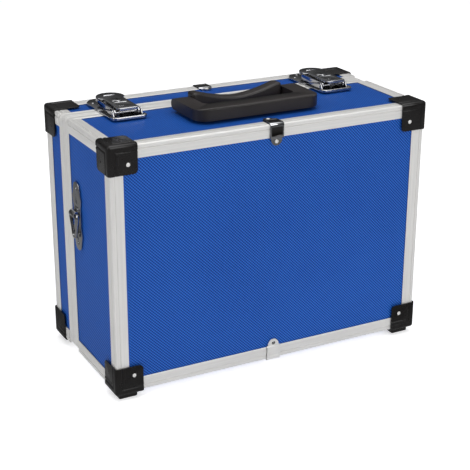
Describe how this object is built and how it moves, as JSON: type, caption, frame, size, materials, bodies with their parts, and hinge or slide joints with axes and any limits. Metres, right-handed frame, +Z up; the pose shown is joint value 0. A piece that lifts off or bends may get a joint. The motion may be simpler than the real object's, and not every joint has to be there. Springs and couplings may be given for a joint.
{
  "type": "telescope carry case",
  "caption": "Hard carry case with a bent metal rim, blue laminated boards, moulded corners, keyed latches, folding handle, strap rings and a foam insert.",
  "frame": {"origin": "on the surface the feet stand on, under the middle of the case", "axes": "+X along the long front face, +Y from the front (base) panel to the lid, +Z up to the handle and latches"},
  "size_m": [0.3328, 0.1584, 0.254],
  "materials": {
    "aluminium": "satin anodised",
    "chrome": "bright nickel plate on pressed steel",
    "blue_board": "embossed laminate on board",
    "black_plastic": "satin moulded",
    "handle_plastic": "fine grain moulded",
    "grey_foam": "open-cell foam"
  },
  "bodies": {
    "case_body": {"base_panel": "blue_board", "body_wall_hinge_side": "blue_board", "body_wall_latch_side": "blue_board", "body_wall_left": "blue_board", "body_wall_right": "blue_board", "body_edge_hinge_side": "aluminium", "body_edge_latch_side": "aluminium", "body_edge_left": "aluminium", "body_edge_right": "aluminium", "body_post_lower_left": "aluminium", "body_post_lower_right": "aluminium", "body_post_upper_left": "aluminium", "body_post_upper_right": "aluminium", "body_rim": "aluminium", "body_corner_lower_left": "black_plastic", "body_corner_lower_right": "black_plastic", "body_corner_upper_left": "black_plastic", "body_corner_upper_right": "black_plastic", "body_foam": "grey_foam", "body_clip_lower": "chrome", "body_clip_upper": "chrome", "strap_plate_left": "chrome", "strap_plate_right": "chrome", "handle_base": "handle_plastic", "latch_base_left": "chrome", "latch_base_right": "chrome", "latch_pin_left": "chrome", "latch_pin_right": "chrome", "hinge_leaf_body": "aluminium", "hinge_pin": "chrome"},
    "lid": {"lid_panel": "blue_board", "lid_wall_hinge_side": "blue_board", "lid_wall_latch_side": "blue_board", "lid_wall_left": "blue_board", "lid_wall_right": "blue_board", "lid_edge_frame": "aluminium", "lid_post_lower_left": "aluminium", "lid_post_lower_right": "aluminium", "lid_post_upper_left": "aluminium", "lid_post_upper_right": "aluminium", "lid_rim": "aluminium", "lid_corner_lower_left": "black_plastic", "lid_corner_lower_right": "black_plastic", "lid_corner_upper_left": "black_plastic", "lid_corner_upper_right": "black_plastic", "lid_foam": "grey_foam", "lid_clip_lower": "chrome", "lid_clip_upper": "chrome", "latch_catch_left": "chrome", "latch_catch_right": "chrome", "hinge_leaf_lid": "aluminium"},
    "handle": {"handle_grip": "handle_plastic"},
    "left_latch_link": {"latch_link_left": "chrome"},
    "left_latch_lever": {"latch_lever_left": "chrome"},
    "left_lock": {"lock_cylinder_left": "chrome"},
    "left_strap_ring": {"strap_ring_left": "chrome"},
    "right_latch_link": {"latch_link_right": "chrome"},
    "right_latch_lever": {"latch_lever_right": "chrome"},
    "right_lock": {"lock_cylinder_right": "chrome"},
    "right_strap_ring": {"strap_ring_right": "chrome"}
  },
  "joints": [
    {"name": "lid_hinge", "type": "hinge", "parent": "case_body", "child": "lid", "pos_m": [0, 0.0305, 0.004], "axis": [-1, 0, 0], "range_deg": [0, 100]},
    {"name": "handle_fold", "type": "hinge", "parent": "case_body", "child": "handle", "pos_m": [0, 0.001, 0.245], "axis": [-1, 0, 0], "range_deg": [0, 100]},
    {"name": "left_latch_lift", "type": "hinge", "parent": "case_body", "child": "left_latch_link", "pos_m": [-0.109, 0.0045, 0.243], "axis": [1, 0, 0], "range_deg": [0, 80]},
    {"name": "left_latch_lever_tilt", "type": "hinge", "parent": "left_latch_link", "child": "left_latch_lever", "pos_m": [-0.109, 0.0405, 0.2438], "axis": [-1, 0, 0], "range_deg": [0, 140]},
    {"name": "left_lock_turn", "type": "hinge", "parent": "left_latch_lever", "child": "left_lock", "pos_m": [-0.109, 0.0265, 0.249], "axis": [0, 0, 1], "range_deg": [0, 90]},
    {"name": "left_ring_swing", "type": "hinge", "parent": "case_body", "child": "left_strap_ring", "pos_m": [-0.1632, 0.0045, 0.154], "axis": [0, 1, 0], "range_deg": [0, 150]},
    {"name": "right_latch_lift", "type": "hinge", "parent": "case_body", "child": "right_latch_link", "pos_m": [0.109, 0.0045, 0.243], "axis": [1, 0, 0], "range_deg": [0, 80]},
    {"name": "right_latch_lever_tilt", "type": "hinge", "parent": "right_latch_link", "child": "right_latch_lever", "pos_m": [0.109, 0.0405, 0.2438], "axis": [-1, 0, 0], "range_deg": [0, 140]},
    {"name": "right_lock_turn", "type": "hinge", "parent": "right_latch_lever", "child": "right_lock", "pos_m": [0.109, 0.0265, 0.249], "axis": [0, 0, 1], "range_deg": [0, 90]},
    {"name": "right_ring_swing", "type": "hinge", "parent": "case_body", "child": "right_strap_ring", "pos_m": [0.1632, 0.0045, 0.154], "axis": [0, -1, 0], "range_deg": [0, 150]}
  ],
  "couplings": [
    {"joint": "left_latch_lever_tilt", "follows": "left_latch_lift", "ratio": 1.75},
    {"joint": "right_latch_lever_tilt", "follows": "right_latch_lift", "ratio": 1.75}
  ]
}
